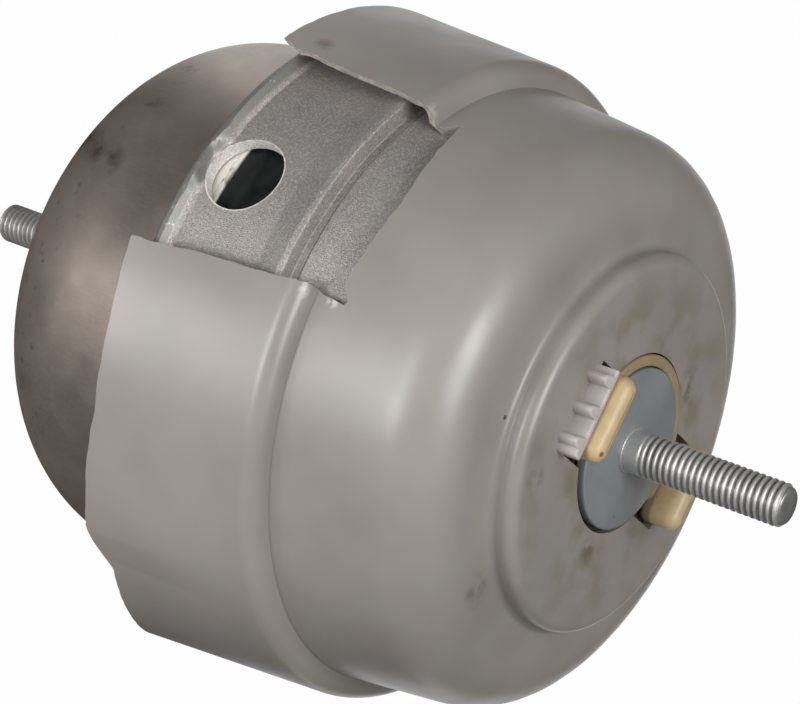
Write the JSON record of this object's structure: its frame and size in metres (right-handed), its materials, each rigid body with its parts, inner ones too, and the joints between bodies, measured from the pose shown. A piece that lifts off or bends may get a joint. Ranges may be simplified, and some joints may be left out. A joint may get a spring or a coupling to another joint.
{
  "type": "engine mount",
  "caption": "Hydraulic engine mount: drawn cup and die-cast housing under a moulded shroud, with a threaded stud at each end, for carrying an engine on its bracket.",
  "frame": {"origin": "centre of the drawn cup's flat seat, on the studs' common axis, where the lower stud leaves it", "axes": "+Z along the studs, from the cup to the shroud's end face; +X through the two lugs beside the upper stud"},
  "size_m": [0.1278, 0.128, 0.1839],
  "materials": {
    "moulded_shroud": "matt",
    "cast_housing": "blasted",
    "drawn_cup": "satin",
    "zinc_stud": "zinc plated, threaded",
    "plated_disc": "dull plated",
    "bright_ring": "bright",
    "inner_steel": "dull",
    "core_metal": "cast",
    "channel_metal": "cast",
    "cream_nylon": "semi-matt",
    "black_rubber": "matt"
  },
  "bodies": {
    "root": {"shroud": "moulded_shroud", "housing": "cast_housing", "lower_cup": "drawn_cup", "lower_stud": "zinc_stud", "upper_stud": "zinc_stud", "core_plate": "plated_disc", "support_ring": "bright_ring", "diaphragm_ring": "inner_steel", "stop_plate": "inner_steel", "inner_core": "core_metal", "track_plate_lower": "channel_metal", "track_plate_upper": "channel_metal", "guard_ring": "cream_nylon", "main_spring": "black_rubber", "diaphragm": "black_rubber", "decoupler_membrane": "black_rubber", "bump_buffer": "black_rubber"}
  },
  "joints": []
}
